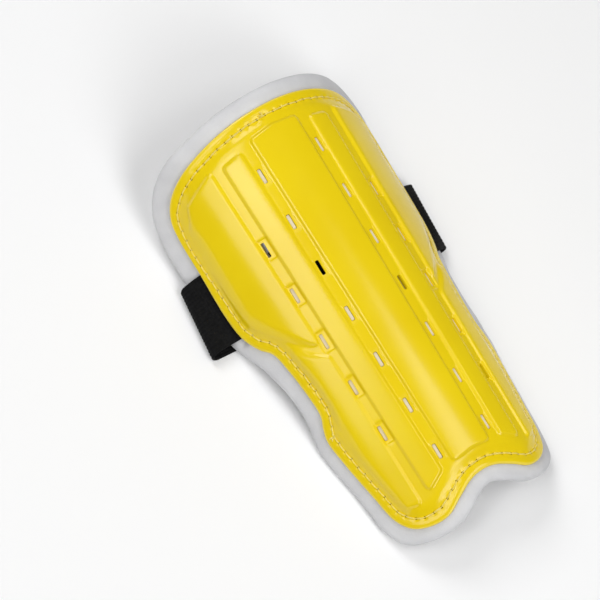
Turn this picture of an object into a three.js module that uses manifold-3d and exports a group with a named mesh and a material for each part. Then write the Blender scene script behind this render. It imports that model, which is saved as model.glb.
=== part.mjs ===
// A soccer shin guard: an embossed plastic shell sewn to a foam pad, with an elastic strap.
// Millimetres, +Z up. The guard lies hollow side down with its knee end towards +Y.
// Shell and pad are cut flat, as across, along and height, and then formed over the shin.
import * as THREE from "three";
import { mergeVertices } from "three/addons/utils/BufferGeometryUtils.js";
import Module from "manifold-3d";

const wasm = await Module();
wasm.setup();

// Form over the shin: an arc across that widens towards the knee, with straighter flanks
const arcRadius = 51;
const arcWidening = 0.04;
const flankAngle = THREE.MathUtils.degToRad(52);
const flankEase = 4;

// Rest on a surface: the guard leans towards its ankle end
const restTilt = THREE.MathUtils.degToRad(7);

// Walls
const gap = 0.3;
const foamThickness = 4;
const foamChamfer = 1.2;
const shellWall = 1.2;
const borderWidth = 6.4;
const fieldRaise = 0.6;
const fieldSlope = 1;
const panelRaise = 1.6;
const panelSlope = 1.2;
const joinDepth = 0.5;
const pocketDepth = 0.7;
const past = 1;

// Vents: two inner rows and two outer rows of slots, each slot in a sunk pocket
const ventPitch = 22.5;
const ventLength = 6.8;
const ventWidth = 1.6;
const ventRows = [
  { count: 7, first: 56.3, knee: 14.5, ankle: 12.3, pocketLength: 8, pocketWidth: 3.2 },
  { count: 5, first: 29.3, knee: 28.9, ankle: 27.4, pocketLength: 9, pocketWidth: 4 },
];
// The pad is pierced behind one slot of each row, counted from the knee
const padHoleLength = 9;
const padHoleWidth = 3.6;
const padHoles = [
  { row: 1, side: -1, slot: 0 },
  { row: 0, side: -1, slot: 2 },
  { row: 0, side: 1, slot: 3 },
  { row: 1, side: 1, slot: 4 },
];

// Strap: a flat band tucked under the shell's edge, folded round the pad and laid across below
const strapWidth = 32;
const strapThickness = 1.3;
const strapTuck = 7;
const strapLift = 3.4;
const strapClear = 0.8;
const strapFoldRadius = 2.4;
const strapSkew = 0.105;
const flatRunSteps = 3;
const foldSteps = 8;
const strapWidthSteps = 4;
const strapSides = [
  { side: -1, middle: 19.2, reach: 60.2 },
  { side: 1, middle: 10, reach: 55.9 },
];

// Half outlines, from the middle of the knee end round to the middle of the ankle end
const foamOutline = [
  { across: 0, along: 89.8 },
  { across: 16, along: 89.1 },
  { across: 33, along: 86.5 },
  { across: 50.9, along: 82 },
  { across: 61.6, along: 75.6 },
  { across: 68.2, along: 67 },
  { across: 71.1, along: 58 },
  { across: 71.7, along: 42 },
  { across: 71, along: 24 },
  { across: 69.3, along: 8 },
  { across: 66, along: -2.5 },
  { across: 60.1, along: -13 },
  { across: 57.4, along: -22 },
  { across: 55.6, along: -36 },
  { across: 56.7, along: -45 },
  { across: 58.5, along: -53 },
  { across: 57.2, along: -64 },
  { across: 53.7, along: -82 },
  { across: 51.4, along: -95.5 },
  { across: 45, along: -105.4 },
  { across: 34.7, along: -109.4 },
  { across: 26, along: -110.1 },
  { across: 16.5, along: -108.6 },
  { across: 9.5, along: -105 },
  { across: 0, along: -101.1 },
];
const shellOutline = [
  { across: 0, along: 82.5 },
  { across: 14, along: 81.8 },
  { across: 29, along: 79.2 },
  { across: 45.2, along: 74.2 },
  { across: 54.9, along: 68.4 },
  { across: 59.5, along: 62 },
  { across: 61, along: 54 },
  { across: 61.3, along: 36 },
  { across: 61.8, along: 15 },
  { across: 60.3, along: 4 },
  { across: 55.9, along: -4 },
  { across: 51.1, along: -9 },
  { across: 48.9, along: -18 },
  { across: 47.3, along: -31 },
  { across: 47.2, along: -41 },
  { across: 49.4, along: -46 },
  { across: 51, along: -51.5 },
  { across: 49.7, along: -63 },
  { across: 46, along: -82 },
  { across: 43.3, along: -94 },
  { across: 38.2, along: -100.8 },
  { across: 30, along: -104 },
  { across: 21.6, along: -103.8 },
  { across: 13.6, along: -99.6 },
  { across: 6, along: -95.9 },
  { across: 0, along: -95 },
];
const outlineSteps = 84;

// Raised panels, by the corners at mid slope; all but the middle one are mirrored
const middlePanel = [
  { across: -11.2, along: 71.9 },
  { across: 0, along: 73.3 },
  { across: 11.2, along: 71.9 },
  { across: 9, along: -85.9 },
  { across: 0, along: -84.8 },
  { across: -9, along: -85.9 },
];
const sidePanels = [
  [
    { across: 17, along: 69.2 },
    { across: 26.3, along: 67.6 },
    { across: 23.6, along: -91.4 },
    { across: 14.7, along: -86.2 },
  ],
  [
    { across: 31.6, along: 69.2 },
    { across: 47.7, along: 62.2 },
    { across: 51.9, along: 54 },
    { across: 51.8, along: 9 },
    { across: 30, along: -17.5 },
  ],
  [
    { across: 29, along: -22.4 },
    { across: 42.5, along: -11.5 },
    { across: 39.2, along: -28 },
    { across: 39.2, along: -64 },
    { across: 35.2, along: -92.4 },
    { across: 28.3, along: -94 },
  ],
];
const panelCornerRadius = 1.6;

// Facets: the blanks have this many cells, and flat work is sliced to match before it is bent
const blankAcross = 153;
const blankAlong = 225;
const cellsAcross = 18;
const cellsAlong = 7;
const sliceTouch = 0.02;

// The place on the formed guard of a point in the flat layout, at a height above the pad
function formed(across, along, height) {
  const radius = arcRadius + arcWidening * along;
  const reach = Math.abs(across);
  const arcReach = radius * flankAngle;
  const flankRadius = radius * flankEase;
  const onArc = reach <= arcReach;
  const angle = onArc ? reach / radius : flankAngle + (reach - arcReach) / flankRadius;
  const bend = onArc ? radius : flankRadius;
  const offset = bend - radius;
  const x = (bend + height) * Math.sin(angle) - offset * Math.sin(flankAngle);
  const z = (bend + height) * Math.cos(angle) - offset * Math.cos(flankAngle) - radius;
  return new THREE.Vector3(Math.sign(across) * x, along, z);
}

// A closed solid of a geometry's triangles, for joining and cutting
function solidOf(geometry) {
  const bare = geometry.clone();
  bare.deleteAttribute("normal");
  bare.deleteAttribute("uv");
  const merged = mergeVertices(bare);
  const mesh = new wasm.Mesh({
    numProp: 3,
    vertProperties: merged.attributes.position.array,
    triVerts: new Uint32Array(merged.index.array),
  });
  return new wasm.Manifold(mesh);
}

// The corners of a solid's triangles, three to a triangle
function cornersOf(solid) {
  const { vertProperties, triVerts, numProp } = solid.getMesh();
  return Array.from(triVerts, (index) => new THREE.Vector3().fromArray(vertProperties, index * numProp));
}

// A geometry with shared corners, from a list with three to a triangle
function geometryOf(corners) {
  const geometry = mergeVertices(new THREE.BufferGeometry().setFromPoints(corners));
  geometry.computeVertexNormals();
  return geometry;
}

// Triangles split where they cross a level along one axis
function sliced(corners, axis, level) {
  const split = [];
  const sideOf = (p) => (Math.abs(p[axis] - level) < sliceTouch ? 0 : Math.sign(p[axis] - level));
  for (let first = 0; first < corners.length; first += 3) {
    const triangle = corners.slice(first, first + 3);
    const sides = triangle.map(sideOf);
    if (!sides.includes(1) || !sides.includes(-1)) {
      split.push(...triangle);
      continue;
    }
    const above = [];
    const below = [];
    triangle.forEach((corner, k) => {
      const next = (k + 1) % 3;
      if (sides[k] >= 0) above.push(corner);
      if (sides[k] <= 0) below.push(corner);
      if (sides[k] * sides[next] < 0) {
        const [low, high] = sides[k] < 0 ? [corner, triangle[next]] : [triangle[next], corner];
        const crossing = low.clone().lerp(high, (level - low[axis]) / (high[axis] - low[axis]));
        above.push(crossing);
        below.push(crossing);
      }
    });
    for (const polygon of [above, below]) {
      for (let k = 1; k + 1 < polygon.length; k += 1) {
        split.push(polygon[0], polygon[k], polygon[k + 1]);
      }
    }
  }
  return split;
}

// Flat work bent over the shin, with facets that follow the bend
function formedGeometry(flat) {
  const loose = flat.index ? flat.toNonIndexed() : flat;
  const { position } = loose.attributes;
  const cornerAt = (_, k) => new THREE.Vector3().fromBufferAttribute(position, k);
  let corners = Array.from({ length: position.count }, cornerAt);
  for (let k = 0; k <= cellsAcross; k += 1) {
    corners = sliced(corners, "x", blankAcross * (k / cellsAcross - 1 / 2));
  }
  for (let k = 0; k <= cellsAlong; k += 1) {
    corners = sliced(corners, "y", blankAlong * (k / cellsAlong - 1 / 2));
  }
  return geometryOf(corners.map((p) => formed(p.x, p.y, p.z)));
}

// A plain formed sheet between two heights, larger than the guard
function blankSolid(low, high) {
  const box = new THREE.BoxGeometry(blankAcross, blankAlong, high - low, cellsAcross, cellsAlong, 1);
  box.translate(0, 0, (low + high) / 2);
  return solidOf(formedGeometry(box));
}

// The whole outline, as points evenly spaced along a smooth closed curve
function outlinePoints(half) {
  const mirrored = half
    .slice(1, -1)
    .reverse()
    .map((row) => ({ across: -row.across, along: row.along }));
  const knots = [...half, ...mirrored].map((row) => new THREE.Vector3(row.across, row.along, 0));
  const curve = new THREE.CatmullRomCurve3(knots, true, "centripetal");
  const points = curve.getSpacedPoints(outlineSteps).slice(0, -1);
  return points.map((point) => new THREE.Vector2(point.x, point.y));
}

// How far across an outline reaches at a place along it
function reachAt(outline, along) {
  let reach = 0;
  outline.forEach((point, k) => {
    const next = outline[(k + 1) % outline.length];
    if ((point.y - along) * (next.y - along) > 0) return;
    const share = (along - point.y) / (next.y - point.y || 1);
    reach = Math.max(reach, Math.abs(point.x + share * (next.x - point.x)));
  });
  return reach;
}

// A closed shape with each corner rounded
function roundedShape(rows, side, radius) {
  const points = rows.map((row) => new THREE.Vector2(side * row.across, row.along));
  const shape = new THREE.Shape();
  points.forEach((corner, k) => {
    const before = points[(k + points.length - 1) % points.length];
    const after = points[(k + 1) % points.length];
    const back = before.clone().sub(corner);
    const ahead = after.clone().sub(corner);
    const cut = Math.min(radius / Math.tan(back.angleTo(ahead) / 2), back.length() / 2, ahead.length() / 2);
    const start = back.setLength(cut).add(corner);
    const end = ahead.setLength(cut).add(corner);
    if (k === 0) shape.moveTo(start.x, start.y);
    else shape.lineTo(start.x, start.y);
    shape.quadraticCurveTo(corner.x, corner.y, end.x, end.y);
  });
  shape.closePath();
  return shape;
}

// A formed slot that stands between two heights
function slotSolid(across, along, length, width, low, high) {
  const slot = new THREE.BoxGeometry(width, length, high - low);
  return solidOf(formedGeometry(slot.translate(across, along, (low + high) / 2)));
}

// A formed sheet between two heights, trimmed by a flat outline that is extruded past it
function trimmedSolid(shape, low, high, options) {
  const cutter = new THREE.ExtrudeGeometry(shape, { bevelSegments: 1, curveSegments: 2, ...options });
  cutter.translate(0, 0, high - options.rise);
  return blankSolid(low, high).intersect(solidOf(formedGeometry(cutter)));
}

// The pad's foam sheet, with both rims chamfered
function chamferedSheet(shape, low, high, chamfer) {
  const slope = chamfer + past;
  return trimmedSolid(shape, low, high, {
    rise: high - low - chamfer,
    depth: high - low - 2 * chamfer,
    bevelThickness: slope,
    bevelSize: slope,
    bevelOffset: -slope,
  });
}

// The shell's plastic sheet, cut square
function squareSheet(shape, low, high) {
  const depth = high - low + 2 * past;
  return trimmedSolid(shape, low, high, { rise: depth - past, depth, bevelEnabled: false });
}

// A raised area with sloping sides: its shape is the outline at mid slope, before the inset
function raisedSolid(shape, foot, raise, slope, inset) {
  const bevelThickness = raise + joinDepth;
  const bevelSize = (slope * bevelThickness) / raise;
  return trimmedSolid(shape, foot - joinDepth, foot + raise, {
    rise: bevelThickness + past,
    depth: joinDepth + past,
    bevelThickness,
    bevelSize,
    bevelOffset: slope / 2 - bevelSize - inset,
  });
}

// Every slot's place in the flat layout
function ventPlaces() {
  return ventRows.flatMap((row, rowIndex) =>
    [-1, 1].flatMap((side) =>
      Array.from({ length: row.count }, (_, slot) => {
        const across = side * THREE.MathUtils.lerp(row.knee, row.ankle, slot / (row.count - 1));
        return { ...row, rowIndex, side, slot, across, along: row.first - slot * ventPitch };
      }),
    ),
  );
}

const foamEdge = outlinePoints(foamOutline);
const shellEdge = outlinePoints(shellOutline);
const vents = ventPlaces();

// The shell: one moulded sheet with a thin sewn border round a thicker field of raised panels
function shellSolid() {
  const outline = new THREE.Shape(shellEdge);
  const borderTop = gap + shellWall;
  const top = borderTop + fieldRaise;
  const field = raisedSolid(outline, borderTop, fieldRaise, fieldSlope, borderWidth);
  let shell = squareSheet(outline, gap, borderTop).add(field);
  const panels = [roundedShape(middlePanel, 1, panelCornerRadius)];
  for (const rows of sidePanels) {
    for (const side of [1, -1]) panels.push(roundedShape(rows, side, panelCornerRadius));
  }
  for (const shape of panels) shell = shell.add(raisedSolid(shape, top, panelRaise, panelSlope, 0));
  for (const vent of vents) {
    const { across, along, pocketLength, pocketWidth } = vent;
    const pocket = slotSolid(across, along, pocketLength, pocketWidth, top - pocketDepth, top + past);
    const slot = slotSolid(across, along, ventLength, ventWidth, gap - past, top);
    shell = shell.subtract(pocket).subtract(slot);
  }
  return shell;
}

// The pad: a rounded sheet, pierced behind a few of the shell's slots
function padSolid() {
  let pad = chamferedSheet(new THREE.Shape(foamEdge), -foamThickness, 0, foamChamfer);
  for (const hole of padHoles) {
    const isBehind = (v) => v.rowIndex === hole.row && v.side === hole.side && v.slot === hole.slot;
    const vent = vents.find(isBehind);
    const { across, along } = vent;
    const pierced = slotSolid(across, along, padHoleLength, padHoleWidth, -foamThickness - past, past);
    pad = pad.subtract(pierced);
  }
  return pad;
}

// Where the strap lifts off the pad's border on one side, at one place across its width
function strapLeave(rest, strapSide, offset) {
  const along = strapSide.middle + offset;
  const across = reachAt(shellEdge, along) + strapLift;
  return formed(across, along, gap + strapThickness / 2).applyMatrix4(rest);
}

// The strap's route on one side at one place across its width, from the middle of its flat run
// to its tucked end, as points of its middle surface with the direction out of the loop
function strapRoute(rest, strapSide, offset, margin) {
  const half = strapThickness / 2;
  const leave = strapLeave(rest, strapSide, offset);
  const leaves = strapSides.map((each) => strapLeave(rest, each, offset).y);
  const crossing = (leaves[0] + leaves[1]) / 2;
  const reach = strapSide.reach + strapSide.side * strapSkew * offset;
  const centre = new THREE.Vector3(reach - half - strapFoldRadius, leave.y, half + strapFoldRadius);
  const route = [];
  for (let k = 0; k < flatRunSteps; k += 1) {
    const share = k / flatRunSteps;
    const y = THREE.MathUtils.lerp(crossing, leave.y, share);
    route.push({ point: new THREE.Vector3(centre.x * share, y, half), out: new THREE.Vector3(0, 0, -1) });
  }
  const toLeave = new THREE.Vector2(leave.x - centre.x, leave.z - centre.z);
  const foldEnd = toLeave.angle() - Math.acos(strapFoldRadius / toLeave.length());
  for (let k = 0; k <= foldSteps; k += 1) {
    const angle = THREE.MathUtils.lerp(-Math.PI / 2, foldEnd, k / foldSteps);
    const out = new THREE.Vector3(Math.cos(angle), 0, Math.sin(angle));
    route.push({ point: centre.clone().addScaledVector(out, strapFoldRadius), out });
  }
  const along = strapSide.middle + offset;
  const edge = reachAt(shellEdge, along);
  const tucked = [
    { across: edge + strapLift, height: gap + half },
    { across: edge + strapClear, height: -half },
    { across: edge - strapTuck / 2, height: -half },
    { across: edge - strapTuck - margin, height: -half },
  ];
  for (const { across, height } of tucked) {
    const point = formed(across, along, height).applyMatrix4(rest);
    const above = formed(across, along, height + 1).applyMatrix4(rest);
    route.push({ point, out: above.sub(point) });
  }
  return route;
}

// The strap as a flat band bent along its route, with all its faces moved out by a margin
function strapGeometry(rest, margin) {
  const steps = strapRoute(rest, strapSides[0], 0, margin).length - 1;
  const width = strapWidth + 2 * margin;
  const thickness = strapThickness + 2 * margin;
  const band = new THREE.BoxGeometry(2 * steps, width, thickness, 2 * steps, strapWidthSteps, 1);
  const position = band.attributes.position;
  for (let k = 0; k < position.count; k += 1) {
    const step = Math.round(position.getX(k));
    const strapSide = strapSides[step < 0 ? 0 : 1];
    const { point, out } = strapRoute(rest, strapSide, position.getY(k), margin)[Math.abs(step)];
    point.addScaledVector(out, -position.getZ(k));
    position.setXYZ(k, strapSide.side * point.x, point.y, point.z);
  }
  return geometryOf(cornersOf(solidOf(band)));
}

function namedMesh(name, geometry, color, roughness) {
  const material = new THREE.MeshStandardMaterial({ color, roughness, metalness: 0 });
  const mesh = new THREE.Mesh(geometry, material);
  mesh.name = name;
  return mesh;
}

// The guard leans as it lies, with the lowest points of the pad on the surface
const guard = new THREE.Group();
const padForm = geometryOf(cornersOf(padSolid()));
guard.rotation.x = restTilt;
guard.updateMatrix();
const leaning = padForm.clone().applyMatrix4(guard.matrix);
leaning.computeBoundingBox();
guard.position.z = -leaning.boundingBox.min.z;
guard.updateMatrix();

// The pad gives way where the strap is sewn in
const strapRoom = strapGeometry(guard.matrix, gap).applyMatrix4(guard.matrix.clone().invert());
const padGeometry = geometryOf(cornersOf(solidOf(padForm).subtract(solidOf(strapRoom))));

guard.add(namedMesh("shell", geometryOf(cornersOf(shellSolid())), 0xeed61c, 0.25));
guard.add(namedMesh("foam_pad", padGeometry, 0xd6d6d8, 0.8));

const assembly = new THREE.Group();
assembly.add(guard);
assembly.add(namedMesh("strap", strapGeometry(guard.matrix, 0), 0x161616, 0.85));

// Origin at the middle of the underside of the whole
const bounds = new THREE.Box3().setFromObject(assembly, true);
const middle = bounds.getCenter(new THREE.Vector3());
assembly.position.set(-middle.x, -middle.y, -bounds.min.z);

const shinGuard = new THREE.Group();
shinGuard.add(assembly);

export default shinGuard;
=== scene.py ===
"""The looks of a soccer shin guard: a glossy moulded shell sewn to a foam pad, with an elastic strap.

Lengths are millimetres, and Builder.piece() turns them into the frame's metres.
The flat layout is across (u), along (v, towards the knee) and height (h) above the pad's top.
"""

import math

import bmesh
import bpy
import numpy as np
from mathutils import Matrix, Vector
from mathutils.geometry import delaunay_2d_cdt


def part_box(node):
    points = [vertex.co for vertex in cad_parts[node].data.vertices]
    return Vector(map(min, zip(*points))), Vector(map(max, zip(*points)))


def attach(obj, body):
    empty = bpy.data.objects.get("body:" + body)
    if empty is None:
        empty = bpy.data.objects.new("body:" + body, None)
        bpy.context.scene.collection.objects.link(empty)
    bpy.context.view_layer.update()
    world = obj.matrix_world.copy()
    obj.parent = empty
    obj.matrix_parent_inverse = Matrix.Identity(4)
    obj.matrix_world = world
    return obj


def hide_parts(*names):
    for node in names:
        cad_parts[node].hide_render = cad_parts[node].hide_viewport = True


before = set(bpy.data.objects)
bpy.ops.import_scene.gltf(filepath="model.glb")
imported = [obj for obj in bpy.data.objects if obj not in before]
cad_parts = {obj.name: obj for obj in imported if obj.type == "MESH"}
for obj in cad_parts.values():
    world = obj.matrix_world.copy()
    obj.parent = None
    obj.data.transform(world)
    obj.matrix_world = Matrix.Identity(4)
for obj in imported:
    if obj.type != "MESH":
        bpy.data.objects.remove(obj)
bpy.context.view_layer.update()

METRES = 0.001

# Meshes: how near points are joined (metres), the tolerance and the kind of a flat triangulation, the
# angles (degrees) above which an edge is sharp, on hard and on soft goods, and the least points of a loop
JOIN_DISTANCE = 2e-6
FLAT_TOLERANCE = 1e-5
ALL_TRIANGLES = 0
HARD_EDGE = 40
SOFT_EDGE = 60
LOOP_LEAST = 8

# Form over the shin, as in the part: an arc that widens towards the knee, with straighter flanks
ARC_RADIUS = 51
ARC_WIDENING = 0.04
FLANK_ANGLE = math.radians(52)
FLANK_EASE = 4
REST_TILT = math.radians(7)
FOAM_THICKNESS = 4
# The chamfer that the part's own pad has
FOAM_CHAMFER = 1.2

# Half outlines, from the middle of the knee end round to the middle of the ankle end: across, along
FOAM_OUTLINE = (
    (0, 89.8), (16, 89.1), (33, 86.5), (50.9, 82), (61.6, 75.6), (68.2, 67), (71.1, 58), (71.7, 42),
    (71, 24), (69.3, 8), (66, -2.5), (60.1, -13), (57.4, -22), (55.6, -36), (56.7, -45),
    (58.5, -53), (57.2, -64), (53.7, -82), (51.4, -95.5), (45, -105.4), (34.7, -109.4), (26, -110.1),
    (16.5, -108.6), (9.5, -105), (0, -101.1),
)
SHELL_OUTLINE = (
    (0, 82.5), (14, 81.8), (29, 79.2), (45.2, 74.2), (54.9, 68.4), (59.5, 62), (61, 54), (61.3, 36),
    (61.8, 15), (60.3, 4), (55.9, -4), (51.1, -9), (48.9, -18), (47.3, -31), (47.2, -41), (49.4, -46),
    (51, -51.5), (49.7, -63), (46, -82), (43.3, -94), (38.2, -100.8), (30, -104),
    (21.6, -103.8), (13.6, -99.6), (6, -95.9), (0, -95),
)
# Steps between two points of an outline, and the spacing of the finished curve
KNOT_STEPS = 24
EDGE_SPACING = 1.0

# Raised panels by their corners; all but the middle one are mirrored. The outlines of panels, and of the
# pockets further down, run half way up their sides
SIDE_LINE = 0.5
MIDDLE_PANEL = ((-11.2, 71.9), (0, 73.3), (11.2, 71.9), (9, -85.9), (0, -84.8), (-9, -85.9))
SIDE_PANELS = (
    ((17, 69.2), (26.3, 67.6), (23.6, -91.4), (14.7, -86.2)),
    ((31.6, 69.2), (47.7, 62.2), (51.9, 54), (51.8, 9), (30, -17.5)),
    ((29, -22.4), (42.5, -11.5), (39.2, -28), (39.2, -64), (35.2, -92.4), (28.3, -94)),
)
PANEL_RAISE = 1.05
PANEL_CORNER = 2.0
CORNER_STEPS = 7
PANEL_SPACING = 0.55
PANEL_MARGIN = 4
# How a panel's side rises from its foot: share of its width, share of its height
SLOPE_PROFILE = (
    (-0.1, 0), (0, 0), (0.15, 0.05), (0.3, 0.2), (0.42, 0.39), (0.54, 0.59), (0.66, 0.77), (0.78, 0.9),
    (0.9, 0.975), (1, 1),
)
# A soft side has a crease at its foot: the widths over which it comes in, and its extra rings
CREASE_FROM = 2.2
CREASE_EASE = 2.6
CREASE_SHARES = (-0.035, 0.035, 0.08)
# The sides are steep near the middle and soft on the flanks: across, width of a side
SLOPE_WIDTHS = ((0, 1.9), (31, 2), (38, 4.6), (48, 7))
# Towards the knee end all sides are steep: their width, and where along that comes in
SLOPE_NARROW = 2.2
KNEE_SIDES_FROM = 46
KNEE_SIDES_EASE = 13

# The shell's border, from its edge inwards: inset, height
BORDER_PROFILE = (
    (0, 0.5), (0.12, 0.92), (0.35, 1.2), (0.75, 1.38), (1.3, 1.46), (1.9, 1.46), (2.25, 1.44), (2.5, 1.41),
    (2.75, 1.4), (3.4, 1.36), (4.5, 1.24), (5.4, 1.27), (6.4, 1.46), (7.6, 1.8), (8.8, 2.03), (10, 2.1),
)
# Rings of the rim, which up to the plain inset have no relief but the border's, and rings beyond the rim
RIM_INSETS = (0, 0.12, 0.24, 0.38, 0.54, 0.74, 1.0, 1.3, 1.6, 1.9, 2.1, 2.25, 2.38, 2.5, 2.62, 2.8, 3.1)
RIM_PLAIN = 1
BORDER_INSETS = (3.5, 4.0, 4.5, 5.0, 5.5, 6.0, 6.5, 7.0, 7.5, 8.1, 8.8)
# The border is narrower beside the calf: middle along, spread along, share taken off, and where across
# that comes in
CALF_MIDDLE = 44
CALF_SPREAD = 17
CALF_SHARE = 0.36
CALF_FROM = 48
CALF_EASE = 8
# Height of the shell's underside, and the rounding of its lower edge
SHELL_UNDERSIDE = 0.22
EDGE_ROUND = 0.12
# Wear: on the rim its most, inset and spread; on the panels the share of their rise where it starts, and
# how fast it comes in
RIM_WORN = 0.8
RIM_WORN_INSET = 0.4
RIM_WORN_SPREAD = 0.4
PANEL_WORN_FROM = 0.5
PANEL_WORN_RATE = 4

# Points of the shell's face: spacing, and least distances between them
FACE_SPACING = 1.7
FACE_LEAST = 0.24
SLOPE_LEAST = 0.09
SLOT_SPACING = 1.5 * FACE_LEAST
SLOT_CLEAR = FACE_LEAST / 2
POCKET_SPACING = 2 * FACE_LEAST
# Points of its underside: spacing, and room kept to the edge and to the slots
UNDER_SPACING = 4
UNDER_EDGE_CLEAR = UNDER_SPACING / 4
UNDER_SLOT_CLEAR = UNDER_SPACING / 5

# Vents: rows of slots in the channels between two panels, with the first slot's place along, and places
# across at the knee end and at the ankle end. The pockets that they are sunk in reach from an inner to an
# outer place beside a slot, at both ends. They are full to a distance along from their middle, then fade
VENT_PITCH = 22.5
VENT_LENGTH = 6.8
VENT_WIDTH = 1.6
VENT_CORNER = 0.5
VENT_ROWS = (
    {
        "count": 7, "first": 56.3, "knee": 14.5, "ankle": 12.3,
        "pockets": ((-2.1, 1.45), (-2.1, 1.45)), "pocket_length": 12, "pocket_depth": 0.26,
        "wall": 0.6, "full": 2.6, "fade": 2.6,
    },
    {
        "count": 5, "first": 29.3, "knee": 28.9, "ankle": 27.4,
        "pockets": ((-3.6, 2.6), (-3.4, 1.8)), "pocket_length": 9.6, "pocket_depth": 0.55,
        "wall": 0.9, "full": 9.6, "fade": 1,
    },
)
POCKET_CORNER = 1.3
# Rings on a pocket's wall, as shares of the wall's width
POCKET_LEVELS = (-0.55, -0.35, -0.17, 0, 0.17, 0.35, 0.55)
SLOT_ROUND = 0.18
SLOT_DRAFT = 0.02
# The pad is pierced behind one slot of each row, and swells a little into the others
PAD_HOLES = (
    {"row": 1, "side": -1, "slot": 0, "size": (2.2, 7.8)},
    {"row": 0, "side": -1, "slot": 2, "size": (4.6, 10.4)},
    {"row": 0, "side": 1, "slot": 3, "size": (4.6, 10.4)},
    {"row": 1, "side": 1, "slot": 4, "size": (4.6, 10.4)},
)
PAD_HOLE_CORNER = 0.8
# How high it swells, by row, the room to the slot's walls, and its rounding with that rounding's rings
SWELLS = (1.25, 0.85)
SWELL_CLEAR = 0.05
SWELL_EASE = 0.1
SWELL_SHARES = (0, 0.5, 1)

# Stitches along the border: needle holes, the puckers round them and the thread between them
STITCH_INSET = 4.5
STITCH_LEVEL = dict(BORDER_PROFILE)[STITCH_INSET]
STITCH_PITCH = 4.1
STITCH_SEED = 5
# How far the holes wander along and across the line, and how far threads differ in bow, lift and weight
STITCH_WANDER = (0.16, 0.1)
STITCH_VARIES = (0.07, 0.05, 0.08)
HOLE_RADIUS = 0.6
HOLE_FLOOR = 0.3
HOLE_DEPTH = 0.85
HOLE_RINGS = (0.25, 0.42, 0.6, 0.85, 1.25)
HOLE_SIDES = 10
PUCKER_RADIUS = 1.25
PUCKER_DEPTH = 0.28
PUCKER_REACH = 3 * PUCKER_RADIUS
THREAD_RADIUS = 0.29
THREAD_SIDES = 8
THREAD_STEPS = 11
# A thread dips at its ends, where it is thinner, and its middle is a share of its radius above the face
THREAD_DIP = 0.7
THREAD_ARCH = 4
THREAD_TAPER = 0.2
THREAD_REST = 0.45
# Loose thread ends: place, then the direction (degrees in the flat) and length of each strand
TUFTS = (
    {"place": (-46.6, -51.4), "strands": ((155, 3.0), (190, 2.3), (60, 1.5))},
    {"place": (-1.5, 77.9), "strands": ((70, 1.9), (120, 1.5))},
)
# Their points and radius, how deep they start, how high they arch and over what share of a half wave, and
# how far they turn (radians)
TUFT_STEPS = 8
TUFT_RADIUS = 0.3
TUFT_ROOT = 0.1
TUFT_ARCH = 1.1
TUFT_BEND = 0.8
TUFT_TURN = 0.5

# Strap: its section, its gap to the pad, where past the shell's edge it lifts off, and its folds
STRAP_WIDTH = 32
STRAP_THICKNESS = 1.3
STRAP_GAP = 0.3
STRAP_LIFT = 3.4
STRAP_FOLD_RADIUS = 2.4
# Each side: the strap's middle along, the fold's reach across and how that changes over the strap's width,
# and how far along the fold is twisted
STRAP_SIDES = (
    {"side": -1, "middle": 20.2, "reach": 60.9, "skew": 0.15, "twist": 1.7},
    {"side": 1, "middle": 10, "reach": 55.9, "skew": 0.105, "twist": 0},
)
# The tucked end's middle line: past the shell's edge, height
STRAP_TUCK = ((3.4, 0.95), (1.6, -0.35), (0.6, -0.72), (-0.5, -0.75), (-3.5, -0.75), (-7, -0.75))
# Points along the flat run, a fold and the stretch above it, then rounds of smoothing
FLAT_STEPS = 26
FOLD_STEPS = 15
RUN_STEPS = 7
STRAP_SMOOTHING = 2
# Ribs along the strap, and the rounding of its edges with the least share of thickness there
RIB_PITCH = 1.6
RIB_DEPTH = 0.26
RIB_STEPS = 6
RIB_POWER = 0.7
SELVEDGE = 0.6
SELVEDGE_LEAST = 0.02

# The pad's edge, from its top round to its underside: inset, height
PAD_PROFILE = (
    (9, 0), (6.5, 0), (4.5, 0), (3, -0.02), (2, -0.08), (1.3, -0.22), (0.75, -0.48), (0.35, -0.85),
    (0.1, -1.35), (0, -2), (0.1, -2.65), (0.35, -3.15), (0.75, -3.52), (1.3, -3.78), (2, -3.92),
    (3, -3.98), (4.5, -4), (6.5, -4), (9, -4),
)
PAD_SPACING = 2.2
PAD_EDGE_CLEAR = PAD_SPACING / 3
PAD_HOLE_SPACING = PAD_SPACING / 3
PAD_HOLE_CLEAR = PAD_SPACING / 4
PAD_HOLE_STEPS = 5
# The border's curl: its size, how far under the shell it starts, and the width over which it comes in
PAD_CURL = 0.6
PAD_CURL_START = 1
PAD_CURL_REACH = 10
# A slow wave round the border: waves in a turn, size, start
PAD_WAVES = ((9, 0.3, 0.6), (14, 0.22, 2.1), (23, 0.12, 0))
# Beside the right calf the border droops towards the leg: middle along, spread along, depth
DROOP_MIDDLE = 47
DROOP_SPREAD = 17
DROOP_DEPTH = 1.8
# How the strap presses the pad in: room between them, reach, fade at the strap's edges, and how many
# points from each end of the strap lie near the pad
PRESS_CLEAR = 0.12
PRESS_REACH = 5
PRESS_FADE = 1
STRAP_NEAR = 35

# The photo's view of the guard, found from its outline and its rows of vents
VIEW_ACROSS = math.radians(21.9)
VIEW_ALONG = math.radians(3.1)
VIEW_TURN = math.radians(58.39)
VIEW_DISTANCE = 1200
FOCAL_PIXELS = 2885
IMAGE_PIXELS = 600
RIDGE_PIXEL = (361.9, 274.7)
SENSOR_WIDTH = 36

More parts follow.
